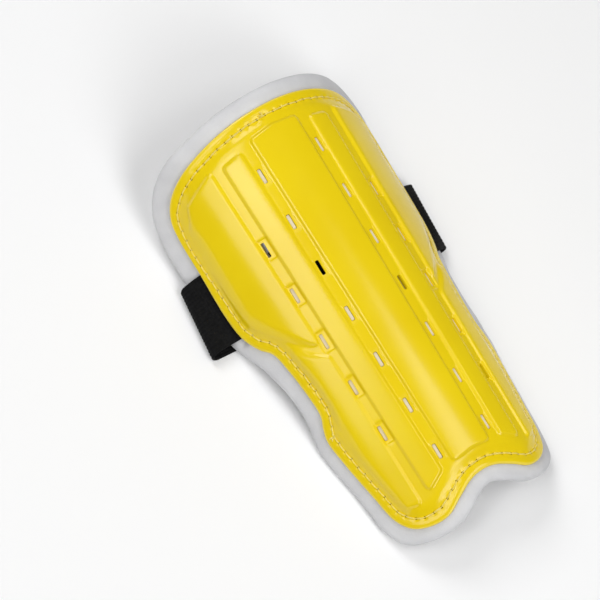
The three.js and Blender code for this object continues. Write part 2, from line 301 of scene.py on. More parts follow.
# Soft boxes, in metres and watts
LIGHTS = (
    {"name": "upper_left", "place": (-0.46, 0.2, 1.0), "size": (0.42, 0.58), "power": 1.75},
    {"name": "far_left", "place": (-0.85, 0, 1.0), "size": (0.3, 1.0), "power": 3.1},
    {"name": "top", "place": (0.21, -0.35, 0.98), "size": (0.58, 0.36), "power": 2.4},
    {"name": "knee_side", "place": (-0.05, 1.0, 1.0), "size": (0.7, 0.7), "power": 7.4},
    {"name": "ankle_side", "place": (-0.05, -1.1, 1.0), "size": (0.7, 0.7), "power": 7.4},
)
WORLD_STRENGTH = 0.1
FLOOR_REACH = 3

# Colours, as linear red, green and blue: each goods' two tones, the shell's wear, the painted shade in its
# needle holes, and the painted yellow bounce light on the foam in the slots and holes
YELLOW_TONES = ((0.84, 0.61, 0.003), (0.88, 0.66, 0.005))
YELLOW_WORN = (0.95, 0.76, 0.1)
YELLOW_HOLE_SHADE = (0.07, 0.037, 0.001)
FOAM_TONES = ((0.61, 0.61, 0.625), (0.7, 0.7, 0.71))
FOAM_BOUNCE_TINT = (0.74, 0.66, 0.51)
ELASTIC_TONES = ((0.003, 0.003, 0.0032), (0.008, 0.008, 0.0085))
THREAD_TONES = ((0.88, 0.68, 0.08), (0.97, 0.84, 0.24))
FLOOR_TONES = ((0.94, 0.94, 0.94), (0.96, 0.96, 0.96))


def smooth(t):
    """A soft step from 0 to 1."""
    t = np.clip(t, 0, 1)
    return t * t * (3 - 2 * t)


def formed(flat, height):
    """Points of the flat layout bent over the shin; the ridge is at x = 0, z = 0."""
    across, along = flat[:, 0], flat[:, 1]
    radius = ARC_RADIUS + ARC_WIDENING * along
    reach = np.abs(across)
    on_arc = reach <= radius * FLANK_ANGLE
    bend = np.where(on_arc, radius, radius * FLANK_EASE)
    angle = np.where(on_arc, reach / radius, FLANK_ANGLE + (reach - radius * FLANK_ANGLE) / bend)
    offset = bend - radius
    x = (bend + height) * np.sin(angle) - offset * math.sin(FLANK_ANGLE)
    z = (bend + height) * np.cos(angle) - offset * math.cos(FLANK_ANGLE) - radius
    return np.stack([np.sign(across) * x, along, z], axis=1)


def leaning(points):
    """The guard's lean towards its ankle end."""
    turn = np.array(Matrix.Rotation(REST_TILT, 3, "X"))
    return points @ turn.T


def between(t, points, at, first, last, low, high):
    """Points blended from a low one to a high one, from one knot time to a later one."""
    share = (at - t[first]) / (t[last] - t[first])
    return (1 - share) * points[low] + share * points[high]


def closed_curve(half, spacing):
    """A smooth closed curve through half an outline and its mirror image, evenly spaced."""
    mirrored = [(-across, along) for across, along in half[-2:0:-1]]
    knots = np.array(list(half) + mirrored, float)
    count = len(knots)
    fine = []
    for k in range(count):
        p = knots[[(k - 1) % count, k, (k + 1) % count, (k + 2) % count]]
        gaps = np.sqrt(np.linalg.norm(np.diff(p, axis=0), axis=1))
        t = np.concatenate([[0], np.cumsum(gaps)])
        at = np.linspace(t[1], t[2], KNOT_STEPS, endpoint=False)[:, None]
        a = [between(t, p, at, i, i + 1, i, i + 1) for i in range(3)]
        b = [between(t, a, at, i, i + 2, i, i + 1) for i in range(2)]
        fine.append((t[2] - at) / (t[2] - t[1]) * b[0] + (at - t[1]) / (t[2] - t[1]) * b[1])
    return even_loop(np.concatenate(fine), spacing)


def even_loop(loop, spacing):
    """A closed loop with points at an even spacing."""
    ring = np.vstack([loop, loop[:1]])
    run = np.concatenate([[0], np.cumsum(np.linalg.norm(np.diff(ring, axis=0), axis=1))])
    count = max(round(run[-1] / spacing), LOOP_LEAST)
    at = np.linspace(0, run[-1], count, endpoint=False)
    return np.stack([np.interp(at, run, ring[:, k]) for k in range(2)], axis=1)


def inward(loop):
    """Unit directions into a loop, at each of its points."""
    along = np.roll(loop, -1, axis=0) - np.roll(loop, 1, axis=0)
    side = np.stack([along[:, 1], -along[:, 0]], axis=1)
    side /= np.linalg.norm(side, axis=1)[:, None]
    area = np.sum(loop[:, 0] * np.roll(loop[:, 1], -1) - np.roll(loop[:, 0], -1) * loop[:, 1])
    return side if area < 0 else -side


def rounded_loop(corners, radius, spacing):
    """A closed loop through straight sides and rounded corners."""
    corners = np.array(corners, float)
    points = []
    for k, corner in enumerate(corners):
        back = corners[k - 1] - corner
        ahead = corners[(k + 1) % len(corners)] - corner
        lengths = np.linalg.norm(back), np.linalg.norm(ahead)
        half = math.acos(np.clip(back @ ahead / (lengths[0] * lengths[1]), -1, 1)) / 2
        cut = min(radius / math.tan(half), lengths[0] / 2, lengths[1] / 2)
        start = corner + back / lengths[0] * cut
        end = corner + ahead / lengths[1] * cut
        for t in np.linspace(0, 1, CORNER_STEPS):
            points.append((1 - t) ** 2 * start + 2 * t * (1 - t) * corner + t * t * end)
    return even_loop(np.array(points), spacing)


def inside_by(points, loop):
    """How far each point is inside a closed loop; negative outside."""
    nearest = np.full(len(points), np.inf)
    within = np.zeros(len(points), bool)
    x, y = points[:, 0], points[:, 1]
    for (x0, y0), (x1, y1) in zip(loop, np.roll(loop, -1, axis=0)):
        dx, dy = x1 - x0, y1 - y0
        t = np.clip(((x - x0) * dx + (y - y0) * dy) / (dx * dx + dy * dy), 0, 1)
        nearest = np.minimum(nearest, (x - x0 - t * dx) ** 2 + (y - y0 - t * dy) ** 2)
        if dy:
            within ^= ((y0 > y) != (y1 > y)) & (x < x0 + dx * (y - y0) / dy)
    return np.where(within, 1, -1) * np.sqrt(nearest)


def spread_out(groups):
    """Points of all groups, earlier ones first, without those nearer than each group's least distance."""
    size = max(least for _, least in groups)
    kept = []
    cells = {}
    for group, least in groups:
        for point in group:
            cell = (int(point[0] // size), int(point[1] // size))
            near = (
                other
                for i in (-1, 0, 1)
                for j in (-1, 0, 1)
                for other in cells.get((cell[0] + i, cell[1] + j), ())
            )
            if all((o[0] - point[0]) ** 2 + (o[1] - point[1]) ** 2 >= least * least for o in near):
                cells.setdefault(cell, []).append(point)
                kept.append(point)
    return np.array(kept)


def filled(loop, holes, points):
    """Triangles in the flat between a loop and its holes, through more points."""
    loops = [loop, *holes]
    edges = []
    start = 0
    for each in loops:
        count = len(each)
        edges += [(start + k, start + (k + 1) % count) for k in range(count)]
        start += count
    flat = np.vstack([*loops, points])
    made = delaunay_2d_cdt([Vector(point) for point in flat], edges, [], ALL_TRIANGLES, FLAT_TOLERANCE)
    corners = np.array([corner[:] for corner in made[0]])
    faces = np.array(made[2])
    middles = corners[faces].mean(axis=1)
    keep = inside_by(middles, loop) > 0
    for hole in holes:
        low, high = hole.min(axis=0), hole.max(axis=0)
        near = np.nonzero(np.all((middles > low) & (middles < high), axis=1))[0]
        if len(near):
            keep[near] &= inside_by(middles[near], hole) < 0
    return corners, faces[keep]


def mesh_points(low, high, spacing):
    """A staggered grid of points over a box in the flat."""
    rows = []
    for k, along in enumerate(np.arange(low[1], high[1], spacing * math.sqrt(3) / 2)):
        across = np.arange(low[0] + (k % 2) * spacing / 2, high[0], spacing)
        rows.append(np.stack([across, np.full(len(across), along)], axis=1))
    return np.vstack(rows)


class Builder:
    """Collects points and faces of one piece, and joins those that meet.

    Each point has two marks from 0 to 1: the first is wear on the shell and painted yellow bounce light on
    the pad, the second the needle holes, which are painted dark as shade.
    """

    def __init__(self):
        self.points = []
        self.marks = []
        self.faces = []
        self.count = 0

    def add(self, points, faces, marks=None):
        """Points, faces that count from the first of them, and their marks."""
        self.points.append(np.asarray(points, float))
        self.marks.append(np.zeros((len(points), 2)) if marks is None else marks)
        self.faces += [tuple(int(i) + self.count for i in face) for face in faces]
        self.count += len(points)

    def strip(self, rings, marks=None):
        """Quads between closed rings that have the same number of points."""
        size = len(rings[0])
        faces = []
        for r in range(len(rings) - 1):
            for k in range(size):
                n = (k + 1) % size
                faces.append((r * size + k, r * size + n, (r + 1) * size + n, (r + 1) * size + k))
        self.add(np.vstack(rings), faces, marks)

    def tube(self, line, radius, sides):
        """A round strand along a line of places, with closed ends."""
        ahead = np.gradient(line, axis=0)
        ahead /= np.linalg.norm(ahead, axis=1)[:, None]
        side = np.cross(ahead, (0, 0, 1))
        side /= np.linalg.norm(side, axis=1)[:, None]
        up = np.cross(side, ahead)
        angles = np.linspace(0, 2 * math.pi, sides, endpoint=False)
        rings = []
        for k, place in enumerate(line):
            spread = np.cos(angles)[:, None] * side[k] + np.sin(angles)[:, None] * up[k]
            rings.append(place + radius[k] * spread)
        self.strip(rings)
        for cap in (rings[0], rings[-1]):
            self.add(cap, [range(sides)])

    def piece(self, name, material, sharp):
        """The finished piece, riding on the guard's body."""
        mesh = bpy.data.meshes.new(name)
        mesh.from_pydata((np.vstack(self.points) * METRES).tolist(), [], self.faces)
        for column, mark in enumerate(("wear_and_bounce", "pierced")):
            values = np.vstack(self.marks)[:, column]
            if values.any():
                mesh.attributes.new(mark, "FLOAT", "POINT").data.foreach_set("value", values)
        work = bmesh.new()
        work.from_mesh(mesh)
        bmesh.ops.remove_doubles(work, verts=work.verts, dist=JOIN_DISTANCE)
        bmesh.ops.recalc_face_normals(work, faces=work.faces)
        work.to_mesh(mesh)
        work.free()
        mesh.shade_smooth()
        mesh.set_sharp_from_angle(angle=math.radians(sharp))
        obj = bpy.data.objects.new(name, mesh)
        bpy.context.scene.collection.objects.link(obj)
        mesh.materials.append(material)
        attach(obj, "root")
        return obj


shell_edge = closed_curve(SHELL_OUTLINE, EDGE_SPACING)
shell_inward = inward(shell_edge)
foam_edge = closed_curve(FOAM_OUTLINE, EDGE_SPACING)
foam_inward = inward(foam_edge)

# Where the guard lies in the frame: the pad's box there gives the shift
foam_low, foam_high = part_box("foam_pad")
foam_box = np.array([foam_low, foam_high]) / METRES
chamfer_rings = (
    (0, -FOAM_CHAMFER),
    (0, FOAM_CHAMFER - FOAM_THICKNESS),
    (FOAM_CHAMFER, -FOAM_THICKNESS),
    (FOAM_CHAMFER, 0),
)
rim_places = np.vstack([
    leaning(formed(foam_edge + foam_inward * inset, np.full(len(foam_edge), height)))
    for inset, height in chamfer_rings
])
shift = foam_box.mean(axis=0) - (rim_places.min(axis=0) + rim_places.max(axis=0)) / 2
shift[2] = foam_box[0, 2] - rim_places[:, 2].min()


def placed(flat, height):
    """Flat points as they lie in the frame, in millimetres."""
    return leaning(formed(np.asarray(flat, float), np.asarray(height, float))) + shift


def border_scale(flat):
    """How wide the shell's border is at a point, as a share of its usual width."""
    beside = smooth((np.abs(flat[:, 0]) - CALF_FROM) / CALF_EASE)
    bump = np.exp(-(((flat[:, 1] - CALF_MIDDLE) / CALF_SPREAD) ** 2))
    return 1 - CALF_SHARE * bump * beside


def edge_ring(inset):
    """The shell's outline moved in by a share of the border."""
    return shell_edge + shell_inward * (inset * border_scale(shell_edge))[:, None]


def vent_places():
    """Every slot: its place, side, row and number, and its pocket's place and size."""
    vents = []
    for r, row in enumerate(VENT_ROWS):
        for side in (-1, 1):
            for slot in range(row["count"]):
                share = slot / (row["count"] - 1)
                across = side * (row["knee"] + share * (row["ankle"] - row["knee"]))
                along = row["first"] - slot * VENT_PITCH
                at_knee, at_ankle = np.array(row["pockets"])
                inner, outer = at_knee + share * (at_ankle - at_knee)
                vents.append({
                    "row": r,
                    "side": side,
                    "slot": slot,
                    "place": np.array([across, along]),
                    "pocket": np.array([across + side * (inner + outer) / 2, along]),
                    "pocket_size": (outer - inner, row["pocket_length"]),
                })
    return vents


def block_loop(place, size, corner, spacing):
    """A rounded rectangle about a place."""
    width, length = size[0] / 2, size[1] / 2
    corners = [(width, length), (width, -length), (-width, -length), (-width, length)]
    return rounded_loop(np.array(corners) + place, corner, spacing)


vents = vent_places()
panels = [rounded_loop(MIDDLE_PANEL, PANEL_CORNER, PANEL_SPACING)]
for rows in SIDE_PANELS:
    for side in (1, -1):
        mirrored = [(side * across, along) for across, along in rows]
        panels.append(rounded_loop(mirrored, PANEL_CORNER, PANEL_SPACING))


def slope_width(flat):
    """How wide a panel's side is at flat points."""
    reach, width = np.array(SLOPE_WIDTHS, float).T
    width = np.interp(np.abs(flat[:, 0]), reach, width)
    knee = smooth((flat[:, 1] - KNEE_SIDES_FROM) / KNEE_SIDES_EASE)
    return width + knee * (np.minimum(width, SLOPE_NARROW) - width)


def stitch_line():
    """Needle holes along the border, which wander a little along and across the line."""
    line = edge_ring(STITCH_INSET)
    ring = np.vstack([line, line[:1]])
    length = np.linalg.norm(np.diff(ring, axis=0), axis=1).sum()
    holes = even_loop(line, length / round(length / STITCH_PITCH))
    into = inward(holes)
    ahead = np.stack([into[:, 1], -into[:, 0]], axis=1)
    wander = np.random.default_rng(STITCH_SEED).normal(0, STITCH_WANDER, (len(holes), 2))
    return holes + ahead * wander[:, :1] + into * wander[:, 1:]


stitch_places = stitch_line()


def curve_through(table, at):
    """Smooth values through a short table of places and values."""
    x, y = np.array(table, float).T
    slopes = np.gradient(y, x)
    slopes[0] = (y[1] - y[0]) / (x[1] - x[0])
    slopes[-1] = 0
    at = np.clip(at, x[0], x[-1])
    k = np.clip(np.searchsorted(x, at, side="right") - 1, 0, len(x) - 2)
    width = x[k + 1] - x[k]
    t = (at - x[k]) / width
    left = y[k] * (1 + 2 * t) * (1 - t) ** 2 + slopes[k] * width * t * (1 - t) ** 2
    right = y[k + 1] * t * t * (3 - 2 * t) + slopes[k + 1] * width * t * t * (t - 1)
    return left + right


def shell_face(flat):
    """Height of the shell's outer face at flat points, and its marks there."""
    scale = border_scale(flat)
    inset = np.maximum(inside_by(flat, shell_edge), 0) / scale
    height = curve_through(BORDER_PROFILE, inset)
    rise = np.where(inset > STITCH_INSET, height - STITCH_LEVEL, 0)
    height -= (1 - scale**2) * rise
    raised = np.zeros(len(flat))
    width = slope_width(flat)
    for loop in panels:
        low, high = loop.min(axis=0) - PANEL_MARGIN, loop.max(axis=0) + PANEL_MARGIN
        near = np.nonzero(np.all((flat > low) & (flat < high), axis=1))[0]
        inner = inside_by(flat[near], loop) / width[near] + SIDE_LINE
        crease = smooth((width[near] - CREASE_FROM) / CREASE_EASE)
        soft = np.sin(math.pi / 2 * np.clip(inner, 0, 1))
        side = curve_through(SLOPE_PROFILE, inner)
        raised[near] = np.maximum(raised[near], side + crease * (soft - side))
    height += PANEL_RAISE * raised
    for vent in vents:
        row = VENT_ROWS[vent["row"]]
        away = np.abs(flat - vent["pocket"])
        near = np.nonzero(np.all(away < row["pocket_length"], axis=1))[0]
        loop = block_loop(vent["pocket"], vent["pocket_size"], POCKET_CORNER, FACE_LEAST)
        sunk = smooth(inside_by(flat[near], loop) / row["wall"] + SIDE_LINE)
        sunk *= 1 - smooth((away[near, 1] - row["full"]) / row["fade"])
        height[near] -= row["pocket_depth"] * sunk * (1 - raised[near]) ** 2
    # Needle holes are marked to be painted dark: painted shade that stands in for the holes' depth
    pierced = np.zeros(len(flat))
    for place in stitch_places:
        near = np.nonzero(np.all(np.abs(flat - place) < PUCKER_REACH, axis=1))[0]
        if len(near):
            away = np.linalg.norm(flat[near] - place, axis=1)
            hole = 1 - smooth((away - HOLE_FLOOR) / (HOLE_RADIUS - HOLE_FLOOR))
            height[near] -= PUCKER_DEPTH * np.exp(-((away / PUCKER_RADIUS) ** 2)) * (1 - hole)
            height[near] -= HOLE_DEPTH * hole
            pierced[near] = np.maximum(pierced[near], hole)
    wear_and_bounce = raised * (1 - raised) * smooth((raised - PANEL_WORN_FROM) * PANEL_WORN_RATE) / width
    return height, np.stack([wear_and_bounce, pierced], axis=1)


def face_points(slots):
    """Points for the shell's face, close together where its relief is fine."""
    groups = []
    for vent, slot in zip(vents, slots):
        groups.append((slot - inward(slot) * FACE_LEAST, FACE_LEAST))
        wall = VENT_ROWS[vent["row"]]["wall"]
        loop = block_loop(vent["pocket"], vent["pocket_size"], POCKET_CORNER, POCKET_SPACING)
        groups += [(loop + inward(loop) * level * wall, SLOPE_LEAST) for level in POCKET_LEVELS]
    angles = np.linspace(0, 2 * math.pi, HOLE_SIDES, endpoint=False)
    circle = np.stack([np.cos(angles), np.sin(angles)], axis=1)
    for place in stitch_places:
        groups.append(([place], SLOPE_LEAST))
        groups += [(place + circle * radius, SLOPE_LEAST) for radius in HOLE_RINGS]
    for loop in panels:
        into = inward(loop)
        for share in (*CREASE_SHARES, *(row[0] for row in SLOPE_PROFILE)):
            groups.append((loop + into * ((share - SIDE_LINE) * slope_width(loop))[:, None], SLOPE_LEAST))
    groups += [(edge_ring(inset), FACE_LEAST) for inset in BORDER_INSETS]
    last = edge_ring(RIM_INSETS[-1])
    groups.append((mesh_points(last.min(axis=0), last.max(axis=0), FACE_SPACING), FACE_LEAST))
    points = spread_out(groups)
    clear = inside_by(points, last) > FACE_LEAST
    for vent, slot in zip(vents, slots):
        near = np.nonzero(np.all(np.abs(points - vent["place"]) < VENT_LENGTH, axis=1))[0]
        clear[near] &= inside_by(points[near], slot) < -SLOT_CLEAR
    return points[clear]


def shell_piece(material):
    """The shell: rim rings, a fine face with all its relief, slot walls and a plain underside."""
    build = Builder()
    under = np.full(len(shell_edge), SHELL_UNDERSIDE)
    rings = [placed(edge_ring(EDGE_ROUND), under), placed(edge_ring(0), under + EDGE_ROUND)]
    marks = [np.zeros((len(under), 2)), np.zeros((len(under), 2))]
    for inset in RIM_INSETS:
        ring = edge_ring(inset)
        plain = curve_through(BORDER_PROFILE, np.full(len(ring), inset))
        rings.append(placed(ring, shell_face(ring)[0] if inset > RIM_PLAIN else plain))
        wear_and_bounce = RIM_WORN * math.exp(-(((inset - RIM_WORN_INSET) / RIM_WORN_SPREAD) ** 2))
        marks.append(np.tile([wear_and_bounce, 0], (len(ring), 1)))
    build.strip(rings, np.vstack(marks))

    size = (VENT_WIDTH, VENT_LENGTH)
    slots = [block_loop(vent["place"], size, VENT_CORNER, SLOT_SPACING) for vent in vents]
    flat, faces = filled(edge_ring(RIM_INSETS[-1]), slots, face_points(slots))
    height, marks = shell_face(flat)
    build.add(placed(flat, height), faces, marks)

    lower = []
    for slot in slots:
        top = shell_face(slot)[0]
        into = inward(slot)
        lower.append(slot + into * SLOT_DRAFT)
        walls = [slot, slot + into * SLOT_DRAFT / 2, lower[-1], lower[-1]]
        heights = [top, top - SLOT_ROUND, top - 2 * SLOT_ROUND, np.full(len(slot), SHELL_UNDERSIDE)]
        build.strip([placed(w, h) for w, h in zip(walls, heights)])
    edge = edge_ring(EDGE_ROUND)
    points = mesh_points(edge.min(axis=0), edge.max(axis=0), UNDER_SPACING)
    clear = inside_by(points, edge) > UNDER_EDGE_CLEAR
    for slot in lower:
        clear &= inside_by(points, slot) < -UNDER_SLOT_CLEAR
    flat, faces = filled(edge, lower, points[clear])
    build.add(placed(flat, np.full(len(flat), SHELL_UNDERSIDE)), faces)
    shell = build.piece("shell_moulding", material, HARD_EDGE)
    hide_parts("shell")


def stitch_piece(material):
    """The border's stitches: threads that dip into the needle holes at both ends, and loose ends."""
    build = Builder()
    chance = np.random.default_rng(STITCH_SEED)
    starts = stitch_places
    ends = np.roll(stitch_places, -1, axis=0)
    levels = shell_face((starts + ends) / 2)[0]
    share = np.linspace(0, 1, THREAD_STEPS)
    arch = 1 - np.abs(2 * share - 1) ** THREAD_ARCH
    for start, end, level in zip(starts, ends, levels):
        bow, lift, weight = chance.normal((0, 0, 1), STITCH_VARIES)
        ahead = end - start
        side = np.array([ahead[1], -ahead[0]]) / np.linalg.norm(ahead)
        line = start + ahead * share[:, None] + side * (bow * arch)[:, None]
        radius = THREAD_RADIUS * weight * (1 - THREAD_TAPER + THREAD_TAPER * arch)
        height = level + THREAD_REST * THREAD_RADIUS + lift - THREAD_DIP * (1 - arch)
        build.tube(placed(line, height), radius, THREAD_SIDES)
    share = np.linspace(0, 1, TUFT_STEPS)
    for tuft in TUFTS:
        place = np.array(tuft["place"], float)
        level = shell_face(place[None])[0][0]
        for degrees, length in tuft["strands"]:
            turn = math.radians(degrees) + TUFT_TURN * share
            away = np.stack([np.cos(turn), np.sin(turn)], axis=1) * (length * share)[:, None]
            height = level - TUFT_ROOT + TUFT_ARCH * np.sin(math.pi * share * TUFT_BEND)
            radius = np.full(TUFT_STEPS, TUFT_RADIUS)
            build.tube(placed(place + away, height), radius, THREAD_SIDES)
    build.piece("border_stitches", material, SOFT_EDGE)


def reach_at(along):
    """How far across the shell's outline reaches at a place along it."""
    right = shell_edge[shell_edge[:, 0] > 0]
    order = np.argsort(right[:, 1])
    return float(np.interp(along, right[order, 1], right[order, 0]))


def strap_route(strap_side, offset):
    """The strap's middle line on one side, from the middle of its flat run to its tucked end.

    Gives points and directions out of the loop, as if on the right, for one place across its width.
    """
    half = STRAP_THICKNESS / 2
    side = strap_side["side"]
    twist = strap_side["twist"]

    def leave_of(each):
        along = each["middle"] + offset
        across = reach_at(along) + STRAP_LIFT
        return placed([[each["side"] * across, along]], [STRAP_GAP + half])[0]

    leave = leave_of(strap_side)
    crossing = np.mean([leave_of(each)[1] for each in STRAP_SIDES])
    reach = strap_side["reach"] + side * strap_side["skew"] * offset
    centre = np.array([reach - half - STRAP_FOLD_RADIUS, half + STRAP_FOLD_RADIUS])
    local = np.array([side * (leave[0] - shift[0]), leave[2]])
    points = []
    outs = []
    for share in np.linspace(0, 1, FLAT_STEPS, endpoint=False):
        points.append((centre[0] * share, crossing + (leave[1] - twist - crossing) * share, half))
        outs.append((0, -1))
    to_leave = local - centre
    touch = math.acos(STRAP_FOLD_RADIUS / np.linalg.norm(to_leave))
    fold_end = math.atan2(to_leave[1], to_leave[0]) - touch
    for share in np.linspace(0, 1, FOLD_STEPS):
        angle = -math.pi / 2 + share * (fold_end + math.pi / 2)
        out = np.array([math.cos(angle), math.sin(angle)])
        at = centre + out * STRAP_FOLD_RADIUS
        points.append((at[0], leave[1] - twist * (1 - share), at[1]))
        outs.append(tuple(out))
    start = np.array([points[-1][0], points[-1][2]])
    for share in np.linspace(0, 1, RUN_STEPS)[1:-1]:
        at = start + (local - start) * share
        points.append((at[0], leave[1], at[1]))
        outs.append(outs[-1])
    along = strap_side["middle"] + offset
    for past, height in STRAP_TUCK:
        flat = [[side * (reach_at(along) + past), along]]
        at = placed(flat, [height])[0]
        above = placed(flat, [height + 1])[0]
        points.append((side * (at[0] - shift[0]), at[1], at[2]))
        outs.append((side * (above[0] - at[0]), above[2] - at[2]))
    return np.array(points), np.array(outs)


def strap_piece(material):
    """The strap: a ribbed elastic band with rounded edges.

    Gives the piece, its length, and its middle lines and directions out of the loop.
    """
    ribs = round(STRAP_WIDTH / RIB_PITCH)
    share = np.linspace(0, 1, ribs * RIB_STEPS + 1)
    offsets = (share - 0.5) * STRAP_WIDTH
    rib = RIB_DEPTH * (np.abs(np.sin(math.pi * ribs * share)) ** RIB_POWER - 1)
    edge = np.minimum(share, 1 - share) * STRAP_WIDTH
    rounding = np.sqrt(np.clip(1 - (1 - np.clip(edge / SELVEDGE, 0, 1)) ** 2, SELVEDGE_LEAST, 1))
    thick = (STRAP_THICKNESS / 2 + rib) * rounding
    columns = []
    for offset in offsets:
        sides = []
        for strap_side in STRAP_SIDES:
            points, outs = strap_route(strap_side, offset)
            points = points * (strap_side["side"], 1, 1) + (shift[0], 0, 0)
            outs = np.stack([outs[:, 0] * strap_side["side"], 0 * outs[:, 0], outs[:, 1]], axis=1)
            sides.append((points, outs))
        (left, left_out), (right, right_out) = sides
        columns.append((np.vstack([left[::-1], right[1:]]), np.vstack([left_out[::-1], right_out[1:]])))
    centre = np.array([points for points, _ in columns])
    out = np.array([outs for _, outs in columns])
    for _ in range(STRAP_SMOOTHING):
        centre[:, 1:-1] = (centre[:, :-2] + 2 * centre[:, 1:-1] + centre[:, 2:]) / 4
        out[:, 1:-1] = (out[:, :-2] + 2 * out[:, 1:-1] + out[:, 2:]) / 4
    out /= np.linalg.norm(out, axis=2)[:, :, None]
    outer = centre + out * thick[:, None, None]
    inner = centre - out * thick[:, None, None]
    rings = np.concatenate([outer, inner[::-1]])
    build = Builder()
    build.strip([rings[:, k] for k in range(rings.shape[1])])
    count = len(rings)
    for end in (0, -1):
        build.add(rings[:, end], [(k, k + 1, count - 2 - k, count - 1 - k) for k in range(count // 2 - 1)])
    strap = build.piece("strap_elastic", material, SOFT_EDGE)
    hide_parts("strap")
    length = np.linalg.norm(np.diff(centre[len(centre) // 2], axis=0), axis=1).sum()
    return strap, length, centre, out


def pad_lift(flat):
    """How far the pad's border stands off its plain form: a little curl, a slow wave and a droop."""
    beyond = -inside_by(flat, shell_edge)
    border = smooth((beyond + PAD_CURL_START) / PAD_CURL_REACH)
    turn = np.arctan2(flat[:, 0], flat[:, 1])
    wave = sum(size * np.sin(count * turn + start) for count, size, start in PAD_WAVES)
    droop = DROOP_DEPTH * np.exp(-(((flat[:, 1] - DROOP_MIDDLE) / DROOP_SPREAD) ** 2))
    return border * (PAD_CURL + wave - np.where(flat[:, 0] > 0, droop, 0))


def pad_hole(vent):
    """The size of the hole in the pad behind a slot, if there is one."""
    for hole in PAD_HOLES:
        if all(hole[key] == vent[key] for key in ("row", "side", "slot")):
            return hole["size"]
    return None


swell_size = (VENT_WIDTH - 2 * SWELL_CLEAR, VENT_LENGTH - 2 * SWELL_CLEAR)
swell_loops = [
    (block_loop(vent["place"], swell_size, VENT_CORNER, FACE_LEAST), SWELLS[vent["row"]])
    for vent in vents
    if not pad_hole(vent)
]


def swelling(flat):
    """How far the pad swells into the shell's slots, clear of their walls."""
    rise = np.zeros(len(flat))
    for loop, swell in swell_loops:
        near = np.nonzero(np.all((flat > loop.min(axis=0)) & (flat < loop.max(axis=0)), axis=1))[0]
        if len(near):
            rise[near] = swell * smooth(inside_by(flat[near], loop) / SWELL_EASE)
    return rise


def press(points, centre, out):
    """Points moved off the strap where it lies against them, and off the floor."""
    points = points.copy()
    points[:, 2] = np.maximum(points[:, 2], foam_box[0, 2])
    clearance = STRAP_THICKNESS / 2 + PRESS_CLEAR
    for part in (slice(0, STRAP_NEAR), slice(-STRAP_NEAR, None)):
        line = centre[:, part]
        outward = out[:, part]
        lowest, highest = line[0, :, 1].min(), line[-1, :, 1].max()
        beside = (points[:, 1] > lowest - PRESS_FADE) & (points[:, 1] < highest + PRESS_FADE)
        for k in np.nonzero(beside)[0]:
            point = points[k]
            column = int(np.argmin(np.abs(line[:, :, 1].mean(axis=1) - point[1])))
            gaps = np.linalg.norm(line[column] - point, axis=1)
            nearest = int(np.argmin(gaps))
            if gaps[nearest] > PRESS_REACH:
                continue
            away = outward[column, nearest]
            stand = (point - line[column, nearest]) @ away
            if stand > -clearance:
                inside = min(point[1] - lowest, highest - point[1])
                fade = np.clip(inside / PRESS_FADE + 1, 0, 1)
                points[k] = point + away * (-clearance - stand) * fade
    return points


def pad_piece(material, strap_centre, strap_out):
    """The foam pad: a thick sheet with a soft edge, pressed in where the strap lies on it."""
    build = Builder()
    pierced = [vent for vent in vents if pad_hole(vent)]
    rings = []
    for inset, height in PAD_PROFILE:
        ring = foam_edge + foam_inward * inset
        rings.append(placed(ring, height + pad_lift(ring)))
    build.strip(rings)
    inner = foam_edge + foam_inward * PAD_PROFILE[0][0]
    holes = [
        block_loop(vent["place"], pad_hole(vent), PAD_HOLE_CORNER, PAD_HOLE_SPACING)
        for vent in pierced
    ]
    points = mesh_points(inner.min(axis=0), inner.max(axis=0), PAD_SPACING)
    clear = inside_by(points, inner) > PAD_EDGE_CLEAR
    for loop in (*holes, *(loop for loop, _ in swell_loops)):
        clear &= inside_by(points, loop) < -PAD_HOLE_CLEAR
    swells = [
        loop + inward(loop) * SWELL_EASE * share
        for loop, _ in swell_loops
        for share in SWELL_SHARES
    ]
    flat, faces = filled(inner, holes, spread_out([(np.vstack([points[clear], *swells]), SLOPE_LEAST)]))
    rise = swelling(flat)
    marks = np.zeros((len(flat), 2))
    # The swells in the slots are marked for painted yellow bounce light from the slot walls
    marks[:, 0] = rise > 0
    build.add(placed(flat, pad_lift(flat) + rise), faces, marks)
    build.add(placed(flat, pad_lift(flat) - FOAM_THICKNESS), faces)
    for hole in holes:
        levels = np.linspace(0, -FOAM_THICKNESS, PAD_HOLE_STEPS)
        # The holes' walls get the same painted yellow bounce light
        bounce_tint = np.tile([1, 0], (len(hole) * len(levels), 1))
        build.strip([placed(hole, level + pad_lift(hole)) for level in levels], bounce_tint)
    build.points = [press(points, strap_centre, strap_out) for points in build.points]
    pad = build.piece("foam_backing", material, SOFT_EDGE)
    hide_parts("foam_pad")
    return pad


